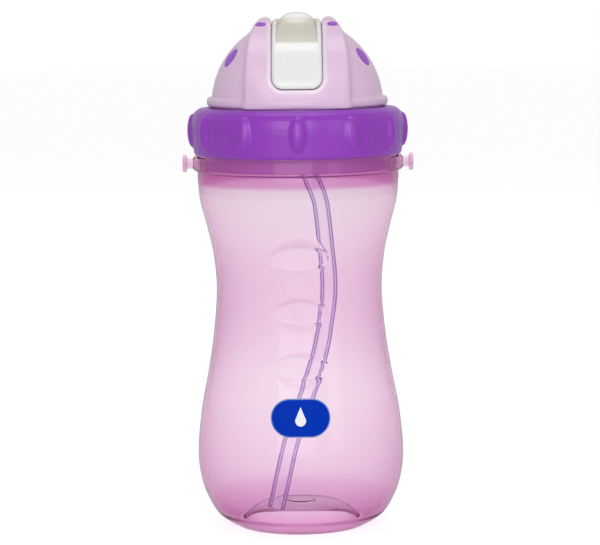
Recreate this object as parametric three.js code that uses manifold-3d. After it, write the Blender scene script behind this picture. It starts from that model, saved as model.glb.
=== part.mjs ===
// Kids water bottle with a screw-on lid, a shield that slides open over the dome, and a spout that unfolds.
// Millimetres, +Z up. The origin is the centre of the base, on the surface that the bottle stands on.
// The front, with the slot and the badge, faces -Y. The strap studs point along +X and -X.
import * as THREE from "three";
import { mergeVertices } from "three/addons/utils/BufferGeometryUtils.js";
import Module from "manifold-3d";

// ---------------------------------------------------------------- driving dimensions

const ROUND = 36; // facets of a full turn
const GAP = 0.3; // clearance between neighbouring pieces

// bottle
const WALL = 1.5;
const FOOT_INNER = 21.2; // the ring that the bottle stands on
const FOOT_OUTER = 23.2;
const SIDE = [
  [27.3, 2.2], [30.7, 4.9], [33.9, 10.2], [36.3, 17], [37.35, 27], [36, 42], [33.4, 56],
  [31.2, 70], [29.9, 86], [30.9, 99], [33.2, 109.6], [35.4, 118.3], [36.2, 126.5],
];
const NECK_RING = { radius: 36.7, bottom: 129, top: 134 };
const NECK = { outer: 35.4, inner: 33.8, bottom: 125.5, lip: 146.3 };
const GRIPS = [
  { z: 62.1, halfWidth: 10.5 },
  { z: 81.2, halfWidth: 10.5 },
  { z: 100.3, halfWidth: 11.5 },
];
const GRIP_HALF_HEIGHT = 5.4;
const GRIP_DEPTH = 1.9;
const STUD = { z: 131.7, end: 41.5, disc: 3.1, discThick: 1.5, stem: 1.9, root: 2.9 };
const BADGE = { z: 44.8, halfWidth: 10.5, halfHeight: 6.75, thick: 0.3 };

// screw thread, right-handed
const PITCH = 4;
const THREAD_TURNS = 1.25;
const THREAD_START = 137.2;
const THREAD_DEPTH = 0.85;

// lid
const LID_Z = 152; // underside of the dome's flange, and the height of the shield's axis
const COLLAR = { radius: 38.2, bottom: 134.7, top: 151.7, bore: 36.6, mouth: 31 };
const RIBS = 12;
const PLATE = {
  radius: 35, top: 149.7, underside: 148.1, plugOuter: 33.4, plugInner: 31.9, plugBottom: 129.4,
};
const WELL = { halfWidth: 6, front: -23.5, back: 1.5, floor: 142.4, wall: 1.5 };
const SEAL = { inner: 33.9, outer: 35.2, bottom: 146.6, top: 147.8 };
const FLANGE = { radius: 32.5, thick: 3.5 };
const DOME = { radius: 30.8, wall: 1.9, centre: LID_Z + 0.5 };
const BAND = { radius: 31.8, inner: 29.4, halfWidth: 19, planRadius: 33.3 };
const SLOT = { halfWidth: 9.3, front: 158.5, back: 155.9, corner: 4.2, rearCorner: 1, lip: 1.1 };
const RAIL = { halfWidth: 12.2, inner: 26.4 };
const GROOVE = { halfWidth: 10.9, inner: 27.6, outer: 29.8, from: 12.5, to: 173 };
const REAR_FLOOR = { inner: 25.4, outer: 26.9, from: 97 };
const SHIELD = { halfWidth: 8.9, inner: 29, outer: 31.2, from: 10, to: 95, bottom: 158.9, corner: 3.8 };
const TONGUE = { halfWidth: 10.5, inner: 28, outer: 29.3, from: 14.5, to: 94 };
const KNOB = { halfWidth: 7.2, top: 34 };

// drinking spout and straw; the fold is measured from the shield's axis
const SPOUT = { radius: 3.8, bore: 1.8, lean: 28.5, length: 24.5, folded: 160 };
const FOLD = { y: -1.9, z: LID_Z + 18.5 };
const STRAW = { outer: 3.1, inner: 2.1 };
const STRAW_ROUTE = [
  [0, 10.6, 146.2], [0, 10.6, 140.5], [1.6, 10.4, 134], [4.9, 9.4, 125.5], [7.9, 8, 117.5], [9.8, 5, 101],
  [10.8, 1.5, 86], [9.2, -2, 73], [7.2, -4.5, 63], [1.8, -9, 46.5], [-3.4, -12.5, 32], [-9, -16, 8.4],
];

// purple dots let into the dome: centre on the surface, radius, and the axis that the surface curves about
const DOT_THICK = 0.6;
const DOT_CLEARANCE = 0.2;
const CHEEK_DOT = { radius: 3.55, front: [23.7, -9.5], rear: [22.6, 4.5] };
const RAIL_DOT = { radius: 1.85, x: 12.8 };

// ---------------------------------------------------------------- solids and shapes

const wasm = await Module();
wasm.setup();

/** A closed three.js geometry as a solid that can be joined and cut. */
function solid(geometry) {
  const bare = geometry.index ? geometry.toNonIndexed() : geometry.clone();
  bare.deleteAttribute("normal");
  bare.deleteAttribute("uv");
  const merged = mergeVertices(bare, 1e-3);
  const mesh = new wasm.Mesh({
    numProp: 3,
    vertProperties: merged.attributes.position.array,
    triVerts: new Uint32Array(merged.index.array),
  });
  return new wasm.Manifold(mesh);
}

/** A solid as a named mesh with a plain material. */
function piece(name, shape, color, { roughness = 0.35, opacity = 1 } = {}) {
  const { vertProperties, triVerts } = shape.getMesh();
  const geometry = new THREE.BufferGeometry();
  geometry.setAttribute("position", new THREE.BufferAttribute(new Float32Array(vertProperties), 3));
  geometry.setIndex(new THREE.BufferAttribute(new Uint32Array(triVerts), 1));
  geometry.computeVertexNormals();
  const material = new THREE.MeshStandardMaterial({
    color, roughness, metalness: 0, opacity, transparent: opacity < 1,
  });
  const mesh = new THREE.Mesh(geometry, material);
  mesh.name = name;
  return mesh;
}

const joined = (shapes) => shapes.reduce((a, b) => a.add(b));
const cut = (shape, cutters) => cutters.reduce((a, b) => a.subtract(b), shape);

/** Turns an outline of [radius, height] points about Z. */
function turned(outline, facets = ROUND) {
  const points = outline.map(([r, z]) => new THREE.Vector2(r, z));
  return solid(new THREE.LatheGeometry(points, facets).rotateX(Math.PI / 2));
}

/** A ring of rectangular section about Z. */
const ring = (inner, outer, bottom, top) =>
  turned([[inner, bottom], [outer, bottom], [outer, top], [inner, top], [inner, bottom]]);

/** A turned solid without a hollow, from the axis out and back to it. */
const disc = (radius, bottom, top) => turned([[0, bottom], [radius, bottom], [radius, top], [0, top]]);

/** Extrudes a shape drawn in (y, z) along X, evenly to both sides. */
function alongX(shape, halfWidth, curveSegments = 10) {
  const axes = new THREE.Matrix4().makeBasis(
    new THREE.Vector3(0, 1, 0), new THREE.Vector3(0, 0, 1), new THREE.Vector3(1, 0, 0));
  const options = { depth: 2 * halfWidth, bevelEnabled: false, curveSegments };
  return solid(new THREE.ExtrudeGeometry(shape, options).translate(0, 0, -halfWidth).applyMatrix4(axes));
}

/** Extrudes a shape drawn in (x, z) along Y, from one y to another. */
function alongY(shape, from, to, curveSegments = 5) {
  const options = { depth: to - from, bevelEnabled: false, curveSegments };
  return solid(new THREE.ExtrudeGeometry(shape, options).rotateX(Math.PI / 2).translate(0, to, 0));
}

/** Part of a ring about the shield's axis, between two radii and two angles up from the front. */
function sector(inner, outer, from, to, halfWidth) {
  const start = THREE.MathUtils.degToRad(180 - to);
  const end = THREE.MathUtils.degToRad(180 - from);
  const shape = new THREE.Shape();
  shape.absarc(0, LID_Z, outer, start, end, false);
  shape.absarc(0, LID_Z, inner, end, start, true);
  return alongX(shape, halfWidth, Math.max(2, Math.round((to - from) / 18)));
}

/** An upright outline with round lower corners, drawn in (x, z), for the slot and the shield in it. */
function uOutline(halfWidth, bottom, corner, top = LID_Z + 45) {
  const shape = new THREE.Shape();
  shape.moveTo(-halfWidth, top);
  shape.lineTo(-halfWidth, bottom + corner);
  shape.absarc(-halfWidth + corner, bottom + corner, corner, Math.PI, 1.5 * Math.PI, false);
  shape.absarc(halfWidth - corner, bottom + corner, corner, 1.5 * Math.PI, 2 * Math.PI, false);
  shape.lineTo(halfWidth, top);
  return shape;
}

/** A ridge on a helix. Its section is drawn as [radius, height] points, and it fades out at both ends. */
function threadRidge(section, root, start) {
  const shape = new THREE.Shape(section.map(([r, z]) => new THREE.Vector2(r, z)));
  const steps = Math.round(ROUND * THREAD_TURNS);
  const geometry = new THREE.ExtrudeGeometry(shape, { depth: 1, steps, bevelEnabled: false });
  const at = geometry.attributes.position;
  for (let i = 0; i < at.count; i++) {
    const along = 1 - at.getZ(i);
    const angle = along * THREAD_TURNS * 2 * Math.PI;
    const fade = Math.min(1, Math.min(along, 1 - along) * 12 + 0.02);
    const radius = root + (at.getX(i) - root) * fade;
    const height = start + at.getY(i) + along * THREAD_TURNS * PITCH;
    at.setXYZ(i, radius * Math.sin(angle), -radius * Math.cos(angle), height);
  }
  return solid(geometry);
}

// ---------------------------------------------------------------- bottle

const sideCurve = new THREE.SplineCurve(SIDE.map(([r, z]) => new THREE.Vector2(r, z)));
const SIDE_STEPS = 14;

/** The bottle's side, moved outwards by an offset, from the foot up. */
function sidePoints(offset) {
  return Array.from({ length: SIDE_STEPS + 1 }, (_, i) => {
    const point = sideCurve.getPointAt(i / SIDE_STEPS);
    const tangent = sideCurve.getTangentAt(i / SIDE_STEPS);
    return [point.x + tangent.y * offset, point.y - tangent.x * offset];
  });
}

/** The bottle's radius at a height, for what is let into its side or printed on it. */
function sideRadius(z) {
  const points = sidePoints(0);
  const above = points.findIndex((point) => point[1] > z);
  const [[r0, z0], [r1, z1]] = [points[above - 1], points[above]];
  return r0 + ((r1 - r0) * (z - z0)) / (z1 - z0);
}

/** The cutter of one finger grip: an oval pad with sloping sides, whose flat end is at the grip's floor. */
function gripCutter({ z, halfWidth }, inset, depth) {
  const slope = 1.2;
  const oval = new THREE.Shape();
  oval.absellipse(0, 0, halfWidth - slope + inset, GRIP_HALF_HEIGHT - slope + inset, 0, 2 * Math.PI);
  const pad = new THREE.ExtrudeGeometry(oval, {
    depth: 8, bevelSize: slope, bevelThickness: slope, bevelSegments: 1, curveSegments: 6,
  });
  return solid(pad.rotateX(Math.PI / 2).translate(0, depth - sideRadius(z) - slope, z));
}

/** A strap stud: a stem with a flared root, and a disc at its end. */
function stud(side) {
  const { z, end, disc: discRadius, discThick, stem, root } = STUD;
  const rootX = NECK_RING.radius - 1.2;
  const outline = [
    [0, rootX], [root, rootX], [root, NECK_RING.radius], [stem, NECK_RING.radius + 1],
    [stem, end - discThick - 0.5], [discRadius, end - discThick], [discRadius, end], [0, end],
  ];
  const points = outline.map(([r, x]) => new THREE.Vector2(r, x));
  const geometry = new THREE.LatheGeometry(points, 16).rotateZ((-side * Math.PI) / 2);
  return solid(geometry.translate(0, 0, z));
}

function bottle() {
  const outer = turned([
    [0, 8.2], [6, 7.6], [12, 5.9], [17, 3.2], [FOOT_INNER - 0.7, 0.5], [FOOT_INNER, 0], [FOOT_OUTER, 0],
    ...sidePoints(0),
    [36.2, 128.4], [NECK_RING.radius, NECK_RING.bottom], [NECK_RING.radius, NECK_RING.top - 0.5],
    [NECK_RING.radius - 0.5, NECK_RING.top], [NECK.outer, NECK_RING.top],
    [NECK.outer, NECK.lip], [0, NECK.lip],
  ]);
  const cavity = turned([
    [0, 9.7], [6.3, 9.1], [12.6, 7.3], [17.8, 4.6], [21.3, 2.2], [23.4, 1.8],
    ...sidePoints(-WALL).slice(0, -1),
    [35, NECK.bottom - 0.7], [NECK.inner, NECK.bottom], [NECK.inner, NECK.lip + 1], [0, NECK.lip + 1],
  ]);
  const depth = THREAD_DEPTH;
  const thread = threadRidge(
    [[NECK.outer - 0.3, -1], [NECK.outer + depth, -0.4], [NECK.outer + depth, 0.4], [NECK.outer - 0.3, 1]],
    NECK.outer - 0.3, THREAD_START);
  const grippedOuter = cut(outer, GRIPS.map((grip) => gripCutter(grip, 0, GRIP_DEPTH)));
  const grippedCavity = cut(cavity, GRIPS.map((grip) => gripCutter(grip, WALL, GRIP_DEPTH + WALL)));
  const shell = joined([grippedOuter, thread, stud(1), stud(-1)]);
  return shell.subtract(grippedCavity);
}

/** The printed badge: a thin pill that follows the bottle's side. */
function badge() {
  const { z, halfWidth, halfHeight, thick } = BADGE;
  const straight = halfWidth - halfHeight;
  const pill = new THREE.Shape();
  pill.absarc(straight, z, halfHeight, -Math.PI / 2, Math.PI / 2, false);
  pill.absarc(-straight, z, halfHeight, Math.PI / 2, 1.5 * Math.PI, false);
  const inner = sidePoints(GAP);
  const skin = turned([inner[0], ...sidePoints(GAP + thick), ...inner.reverse()]);
  return alongY(pill, -45, -20, 8).intersect(skin);
}

// ---------------------------------------------------------------- collar and seal

function collar() {
  const { radius, bottom, top, bore, mouth } = COLLAR;
  const body = turned([
    [bore, bottom], [radius - 1.3, bottom], [radius - 0.8, bottom + 1], [radius - 0.1, top - 8.5],
    [radius, top - 6], [radius - 0.35, top - 3.4], [radius - 1.3, top - 1.5], [radius - 2.9, top - 0.3],
    [radius - 4.8, top], [mouth, top], [mouth, top - 1.6], [bore - 1.2, top - 1.6], [bore, top - 3.9], [bore, bottom],
  ]);
  const ribs = Array.from({ length: RIBS }, (_, i) => {
    const rib = new THREE.SphereGeometry(1, 8, 6).rotateX(Math.PI / 2).scale(2.1, 3, 6);
    rib.translate(radius - 0.35, 0, 143.4);
    return solid(rib.rotateZ((2 * Math.PI * i) / RIBS - Math.PI / 2));
  });
  const depth = THREAD_DEPTH;
  const thread = threadRidge(
    [[bore + 0.3, 1], [bore - depth, 0.4], [bore - depth, -0.4], [bore + 0.3, -1]],
    bore + 0.3, THREAD_START + PITCH / 2);
  const inside = disc(bore - 0.01, bottom - 1, top - 3.9);
  return joined([body, ...ribs.map((rib) => rib.subtract(inside)), thread]);
}

const sealRing = () => ring(SEAL.inner, SEAL.outer, SEAL.bottom, SEAL.top);

// ---------------------------------------------------------------- lid plate and valve

const VALVE = { x: 15, y: 15, hole: 1.5 };

/** A box with upright edges, for the well under the folded spout. */
function wellBox(grow, floor, top) {
  const { halfWidth, front, back } = WELL;
  const box = new THREE.BoxGeometry(2 * (halfWidth + grow), back - front + 2 * grow, top - floor);
  return solid(box.translate(0, (front + back) / 2, (floor + top) / 2));
}

const SPIGOT_Y = STRAW_ROUTE[0][1];

function lidPlate() {
  const { radius, top, underside, plugOuter, plugInner, plugBottom } = PLATE;
  const plate = turned([
    [0, underside], [plugInner, underside], [plugInner, plugBottom], [plugOuter - 0.5, plugBottom],
    [plugOuter, plugBottom + 0.6], [plugOuter, underside], [radius, underside], [radius, top], [0, top],
  ]);
  const spigot = disc(STRAW.inner - GAP, underside - 6, underside + 0.5).translate([0, SPIGOT_Y, 0]);
  const cutters = [
    wellBox(0, WELL.floor, top + 5),
    disc(1, underside - 7, top + 1).translate([0, SPIGOT_Y, 0]),
    disc(VALVE.hole, underside - 1, top + 1).translate([VALVE.x, VALVE.y, 0]),
  ];
  return cut(joined([plate, wellBox(WELL.wall, WELL.floor - WELL.wall, underside + 0.5), spigot]), cutters);
}

/** A small silicone valve: a head on the plate, a stem through it, and a bulb that holds it in. */
function ventValve() {
  const stem = VALVE.hole - GAP;
  const above = PLATE.top + GAP;
  const below = PLATE.underside - GAP;
  const shape = turned([
    [0, below - 2.2], [0.8, below - 2.2], [2.1, below - 0.6], [2.1, below], [stem, below], [stem, above],
    [2.6, above], [2.6, above + 0.7], [2, above + 1.1], [0, above + 1.1],
  ], 16);
  return shape.translate([VALVE.x, VALVE.y, 0]);
}

// ---------------------------------------------------------------- dome cover

const ARC_STEPS = 8;

/** Points on the dome's round outline, from a height up to the axis. */
function domeArc(radius, fromZ) {
  const start = Math.asin((fromZ - DOME.centre) / radius);
  return Array.from({ length: ARC_STEPS + 1 }, (_, i) => {
    const angle = start + ((Math.PI / 2 - start) * i) / ARC_STEPS;
    return [i === ARC_STEPS ? 0 : radius * Math.cos(angle), DOME.centre + radius * Math.sin(angle)];
  });
}

/** The raised band's outline from the front: it narrows upwards and rounds over at the top. */
function bandOutline(inset = 0) {
  const half = [[19, 0], [18.4, 12], [17.5, 21.7], [16.7, 25.6], [15.3, 28.8], [13.6, 30.9], [12, 32.2]];
  const shape = new THREE.Shape();
  half.forEach(([x, z], i) => (i ? shape.lineTo(x - inset, LID_Z + z) : shape.moveTo(x - inset, LID_Z + z)));
  [...half].reverse().forEach(([x, z]) => shape.lineTo(inset - x, LID_Z + z));
  return shape;
}

/** The dome with its flange and raised band, as one full block. */
function domeBlock() {
  const { radius, thick } = FLANGE;
  const cheeks = turned([
    [0, LID_Z], [radius - 1.1, LID_Z], [radius - 0.3, LID_Z + 0.6], [radius, LID_Z + 1.6],
    [radius - 0.2, LID_Z + 2.7], [radius - 1.1, LID_Z + thick], ...domeArc(DOME.radius, LID_Z + thick),
  ]);
  const band = sector(1, BAND.radius, 0, 180, BAND.halfWidth + 1).intersect(alongY(bandOutline(), -40, 40));
  return cheeks.add(band.intersect(disc(BAND.planRadius, LID_Z - 1, LID_Z + 40)));
}

/** The space under the dome. */
function domeHollow() {
  const bore = disc(28.2, LID_Z - 5, LID_Z + 6);
  const cheeks = turned([[0, LID_Z + 3], ...domeArc(DOME.radius - DOME.wall, LID_Z + 3)]);
  const band = sector(1, BAND.inner, 6, 174, BAND.halfWidth + 1).intersect(alongY(bandOutline(2), -40, 40));
  return joined([bore, cheeks, band.intersect(disc(BAND.planRadius - 2, LID_Z - 1, LID_Z + 40))]);
}

const SPOUT_PATH = SPOUT.radius + 1.4; // half the width that the swinging spout needs between the rails

/** The slot's outline swept through the dome: a round-cornered U in front, and a lower one behind. */
function slotCutters(grow, outerOnly) {
  const front = alongY(uOutline(SLOT.halfWidth + grow, SLOT.front - grow, SLOT.corner + grow), -40, -1);
  const rear = alongY(uOutline(SLOT.halfWidth + grow, SLOT.back - grow * 0.3, SLOT.rearCorner), -1.5, 40);
  const both = front.add(rear);
  return outerOnly ? both.intersect(sector(BAND.radius - 0.7, BAND.radius + 4, 0, 180, 20)) : both;
}

/** A round plug or pocket, sunk into the dome along the surface's own direction. */
function dotPlug({ centre, normal, radius }, grow, inside, outside) {
  const plug = new THREE.CylinderGeometry(radius + grow, radius + grow, inside + outside, 12);
  plug.translate(0, (outside - inside) / 2, 0);
  plug.applyQuaternion(new THREE.Quaternion().setFromUnitVectors(new THREE.Vector3(0, 1, 0), normal));
  return solid(plug.translate(...centre.toArray()));
}

/** A dot on a cheek, from its x and y. */
function cheekDot(x, y) {
  const up = Math.sqrt(DOME.radius ** 2 - x ** 2 - y ** 2);
  const normal = new THREE.Vector3(x, y, up).divideScalar(DOME.radius);
  return { centre: new THREE.Vector3(x, y, DOME.centre + up), normal, radius: CHEEK_DOT.radius };
}

/** A dot on a rail, from its side and its angle up from the front. */
function railDot(side, degrees) {
  const angle = THREE.MathUtils.degToRad(degrees);
  const normal = new THREE.Vector3(0, -Math.cos(angle), Math.sin(angle));
  const centre = normal.clone().multiplyScalar(BAND.radius);
  centre.add(new THREE.Vector3(side * RAIL_DOT.x, 0, LID_Z));
  return { centre, normal, radius: RAIL_DOT.radius };
}

const DOTS = {
  cheek_dot_front_left: cheekDot(-CHEEK_DOT.front[0], CHEEK_DOT.front[1]),
  cheek_dot_front_right: cheekDot(...CHEEK_DOT.front),
  cheek_dot_rear_left: cheekDot(-CHEEK_DOT.rear[0], CHEEK_DOT.rear[1]),
  cheek_dot_rear_right: cheekDot(...CHEEK_DOT.rear),
  rail_dot_front_left: railDot(-1, 68),
  rail_dot_front_right: railDot(1, 68),
  rail_dot_rear_left: railDot(-1, 112),
  rail_dot_rear_right: railDot(1, 93),
};

/** One dot: the dome's own outer surface, cut out as a thin plug. */
function dot(place, block) {
  return dotPlug(place, 0, DOT_THICK + 1.2, 3).intersect(block).subtract(
    dotPlug(place, 1, 6, -DOT_THICK - 0.3));
}

function domeCover(block) {
  const shell = block.subtract(domeHollow());
  const spigot = ring(28.2, 30.6, PLATE.top + GAP, LID_Z + 1);
  const rails = sector(RAIL.inner, BAND.radius - 1, 5, 176, RAIL.halfWidth)
    .intersect(disc(BAND.planRadius - 1, LID_Z - 1, LID_Z + 40))
    .subtract(sector(1, BAND.inner, 0, 60, SPOUT_PATH));
  const grooves = sector(GROOVE.inner, GROOVE.outer, GROOVE.from, GROOVE.to, GROOVE.halfWidth);
  const rearFloor = sector(REAR_FLOOR.inner, REAR_FLOOR.outer, REAR_FLOOR.from, 178, RAIL.halfWidth - 0.2);
  const rearEnd = sector(REAR_FLOOR.inner, BAND.radius - 1, 173.4, 179, RAIL.halfWidth - 0.2);
  const pocketDepth = DOT_THICK + GAP + 0.15;
  const pockets = Object.values(DOTS).map((place) => dotPlug(place, DOT_CLEARANCE, pocketDepth, 3));
  const slotted = cut(joined([shell, rails]), [grooves, slotCutters(0, false), slotCutters(SLOT.lip, true)]);
  return cut(joined([slotted, spigot, rearFloor, rearEnd]), pockets);
}

// ---------------------------------------------------------------- sliding shield

/** The thumb knob's outline from the side: a hollowed front face up to a rounded crest, and a steep back. */
function knobProfile() {
  const shape = new THREE.Shape();
  shape.moveTo(-20.6, LID_Z + 23);
  shape.quadraticCurveTo(-9.8, LID_Z + 26, -4.6, LID_Z + 33.2);
  shape.quadraticCurveTo(-3.4, LID_Z + KNOB.top, -1.8, LID_Z + KNOB.top);
  shape.quadraticCurveTo(0.6, LID_Z + KNOB.top - 0.3, 2.3, LID_Z + 30.8);
  shape.lineTo(2.3, LID_Z + 29.4);
  shape.lineTo(-9, LID_Z + 28);
  shape.lineTo(-18.6, LID_Z + 22.6);
  return shape;
}

/** The knob's outline from the front: an arch. */
function knobArch() {
  const shape = new THREE.Shape();
  shape.moveTo(KNOB.halfWidth + 0.3, LID_Z + 20);
  shape.lineTo(KNOB.halfWidth + 0.3, LID_Z + 23.5);
  shape.lineTo(KNOB.halfWidth - 0.3, LID_Z + 26.5);
  shape.absarc(0, LID_Z + 27.1, KNOB.halfWidth - 0.3, 0, Math.PI, false);
  shape.lineTo(-KNOB.halfWidth - 0.3, LID_Z + 23.5);
  shape.lineTo(-KNOB.halfWidth - 0.3, LID_Z + 20);
  return shape;
}

function sliderCover() {
  const { halfWidth, inner, outer, from, to, bottom, corner } = SHIELD;
  const outline = alongY(uOutline(halfWidth, bottom, corner), -40, 20);
  const shield = sector(inner, outer, from, to, halfWidth).intersect(outline);
  const faceCut = alongY(knobArch(), -40, 10).intersect(sector(30.2, 40, 47.5, 82, KNOB.halfWidth + 1));
  const knob = alongX(knobProfile(), KNOB.halfWidth + 1, 5).intersect(alongY(knobArch(), -40, 10));
  const tongues = sector(TONGUE.inner, TONGUE.outer, TONGUE.from, TONGUE.to, TONGUE.halfWidth);
  const between = sector(TONGUE.inner - 1, inner, 0, 110, halfWidth - 1);
  return joined([shield.subtract(faceCut), knob, tongues]).subtract(between);
}

// ---------------------------------------------------------------- spout and straw

const lean = THREE.MathUtils.degToRad(SPOUT.lean);

/** Stands a solid that was drawn upright at the origin on the fold, leaning as the open spout does. */
function atFold(shape) {
  return shape.rotate([SPOUT.lean, 0, 0]).translate([0, FOLD.y, FOLD.z]);
}

function spoutBase() {
  const length = (FOLD.z - PLATE.top) / Math.cos(lean);
  const tube = atFold(disc(SPOUT.radius, -length - 2, 0));
  const foot = disc(5.4, PLATE.top + GAP, PLATE.top + GAP + 1.4).translate([0, SPIGOT_Y, 0]);
  const below = disc(60, 0, PLATE.top + GAP);
  const bores = [
    atFold(disc(SPOUT.bore, -length + 1.5, 1)),
    disc(SPOUT.bore, PLATE.top - 1, PLATE.top + 3.5).translate([0, SPIGOT_Y, 0]),
  ];
  return cut(joined([tube, foot]), [below, ...bores]);
}

/** The spout's free length, folded down inside the closed lid about the front edge of the fold. */
function spoutTip() {
  const { radius, bore, length, folded } = SPOUT;
  const tube = turned([
    [bore, GAP], [radius, GAP], [radius, length * 0.55], [radius - 0.5, length - 2.5],
    [radius - 0.5, length - 1], [radius - 1.2, length], [bore, length], [bore, GAP],
  ], 24);
  const hinge = [0, -radius, 0];
  const bent = tube.translate([0, radius, 0]).rotate([folded, 0, 0]).translate(hinge);
  return atFold(bent);
}

function straw() {
  const route = new THREE.CatmullRomCurve3(STRAW_ROUTE.map((point) => new THREE.Vector3(...point)));
  const tube = (radius) => {
    const section = new THREE.Shape();
    section.absarc(0, 0, radius, 0, 2 * Math.PI, false);
    const options = { steps: 22, extrudePath: route, curveSegments: 5, bevelEnabled: false };
    return new THREE.ExtrudeGeometry(section, options);
  };
  return solid(tube(STRAW.outer)).subtract(solid(tube(STRAW.inner)));
}

// ---------------------------------------------------------------- assembly

const PINK_CLEAR = 0xe7a8da;
const PURPLE = 0x8e3fc4;
const PALE_PINK = 0xe6c4e2;
const WHITE = 0xf1f1ee;
const SILICONE = 0xf3eef2;
const BLUE = 0x0038ae;
const STRAW_TINT = 0xc9a4e0;

const block = domeBlock();

const model = new THREE.Group();
model.add(
  piece("bottle", bottle(), PINK_CLEAR, { roughness: 0.1, opacity: 0.4 }),
  piece("badge_label", badge(), BLUE, { roughness: 0.3 }),
  piece("seal_ring", sealRing(), SILICONE, { roughness: 0.5 }),
  piece("collar", collar(), PURPLE, { roughness: 0.2 }),
  piece("lid_plate", lidPlate(), PURPLE, { roughness: 0.3 }),
  piece("vent_valve", ventValve(), SILICONE, { roughness: 0.5 }),
  piece("dome_cover", domeCover(block), PALE_PINK, { roughness: 0.35 }),
  piece("slider_cover", sliderCover(), WHITE, { roughness: 0.25 }),
  piece("spout_base", spoutBase(), SILICONE, { roughness: 0.4 }),
  piece("spout_tip", spoutTip(), SILICONE, { roughness: 0.4 }),
  piece("straw", straw(), STRAW_TINT, { roughness: 0.15, opacity: 0.5 }),
);
for (const [name, place] of Object.entries(DOTS)) {
  model.add(piece(name, dot(place, block), PURPLE, { roughness: 0.25 }));
}

export default model;
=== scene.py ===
"""The finished look of the kids water bottle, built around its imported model. Shapes are in millimetres
until they become meshes, in metres. The front faces -Y, and the origin is the centre of the base."""
import math
from collections import namedtuple
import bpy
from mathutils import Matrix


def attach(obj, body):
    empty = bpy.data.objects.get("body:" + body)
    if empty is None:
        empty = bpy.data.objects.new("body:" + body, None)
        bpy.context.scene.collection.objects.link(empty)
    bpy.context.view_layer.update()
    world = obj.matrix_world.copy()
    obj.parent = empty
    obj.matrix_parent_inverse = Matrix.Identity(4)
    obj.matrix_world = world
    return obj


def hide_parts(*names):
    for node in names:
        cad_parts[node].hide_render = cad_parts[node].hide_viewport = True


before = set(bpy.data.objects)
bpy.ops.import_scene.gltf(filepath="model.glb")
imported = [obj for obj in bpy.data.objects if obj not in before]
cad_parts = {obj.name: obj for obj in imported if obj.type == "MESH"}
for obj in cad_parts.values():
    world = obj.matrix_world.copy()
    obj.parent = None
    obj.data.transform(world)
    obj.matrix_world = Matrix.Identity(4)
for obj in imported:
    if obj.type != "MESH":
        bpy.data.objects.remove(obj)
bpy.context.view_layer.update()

from types import SimpleNamespace as Sizes

import bmesh
import bpy
import numpy as np
import openvdb
from mathutils import Matrix, Vector
from mathutils.geometry import delaunay_2d_cdt

MM = 0.001
TAU = 2 * math.pi

# ---------------- dimensions, in millimetres

WALLS = [  # height and thickness of the bottle's side
    (0, 2.1), (20, 2.0), (32, 1.75), (50, 1.5), (66, 1.7), (90, 1.7), (106, 1.4), (124, 1.25),
]
GRIP_WALL = 1.5
FOOT = [(0, 7.9), (4.6, 7.8), (5.2, 7.4), (9, 7.3), (14, 6.5), (18, 4.3), (20.5, 0.8), (21.2, 0), (23.2, 0)]
FLOOR = [(0, 8.4), (4.7, 8.3), (5.3, 7.9), (9.1, 7.8), (14.2, 7.05), (18.4, 4.9), (21.4, 2.1), (23.6, 1.9)]
SIDE = [
    (27.3, 2.2), (30.7, 4.9), (33.9, 10.2), (36.3, 17), (37.35, 27), (36, 42), (33.4, 56),
    (31.2, 70), (29.9, 86), (30.9, 99), (33.2, 109.6), (35.4, 118.3), (36.2, 126.5),
]
INNER_SIDE = (2.6, 121)  # from the floor to the neck's flare
NECK_RING = Sizes(radius=36.7, step=127.4, bottom=129, top=134)
NECK = Sizes(outer=35.4, inner=33.8, bottom=131, lip=146.3, flare=(34.15, 126.5))
GRIPS = [(61.1, 10.5), (80.2, 10.5), (99.5, 11.5)]  # height and half width
GRIP_HALF_HEIGHT = 5.4
GRIP_DEPTH = 1.9
GRIP_EDGE = 1.5  # from the rim of a grip to its flat pad
GRIP_SLOPE = 1.05
GRIP_BLEND = 0.9
GRIP_ZONE = (50, 112)
OUTLINE_STEP = 0.9
STUD = Sizes(z=131.6, end=41.5, disc=3.1, thick=1.5, stem=1.9, root=2.9)
BADGE = Sizes(z=44.2, half=10.5, half_height=6.75)

THREAD = Sizes(pitch=4, turns=1.25, start=137.2, depth=0.85, half=1, flank=0.6)
COLLAR_THREAD_HALF = 0.9
THREAD_FADE = 12  # it reaches its full height within a twelfth of its length

LID_Z = 152
COLLAR = Sizes(radius=38.2, bottom=134.7, top=151.7, bore=36.6, mouth=31)
RIBS = Sizes(count=12, z=143.4, inset=0.35, size=(1.85, 2.7, 5.9))  # half sizes out, along and up
PLATE = Sizes(radius=35, top=149.7, underside=148.1, bottom=129.4)
PLUG = Sizes(outer=33.4, inner=31.9)
WELL = Sizes(half=6, front=-23.5, back=1.5, floor=142.4, wall=1.5)
SEAL = Sizes(inner=33.9, outer=35.2, bottom=146.6, top=147.8)
FLANGE = Sizes(radius=32.5, thick=3.5)
DOME = Sizes(radius=30.8, wall=1.9, centre=LID_Z + 0.5, bore=28.2, bore_top=6, spigot=30.6)
HOLLOW_FROM = 3  # how far above the flange's underside the dome's hollow starts
BAND = Sizes(radius=31.8, inner=29.4, plan_radius=33.2, wall=2, plan_wall=2.6)
BAND_HALF = [(0, 19), (12, 18.4), (21.7, 17.5), (25.6, 16.7), (28.8, 15.3), (30.9, 13.6), (32.2, 12)]
SLOT = Sizes(half=9.08, front=158.6, back=155.9, corner=4.1, rear_corner=1, lip=1.3)
SHIELD = Sizes(half=8.98, inner=29, outer=31.2, end=95, bottom=158.7, corner=4)
Arc = namedtuple("Arc", "inner outer start end half")  # two radii, two angles and half the width
RAIL = Arc(26.4, 30.8, 5, 176, 12.2)
RAIL_PLAN_WALL = 1.7
GROOVE = Arc(27.6, 29.8, 12.5, 173, 10.9)
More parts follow.
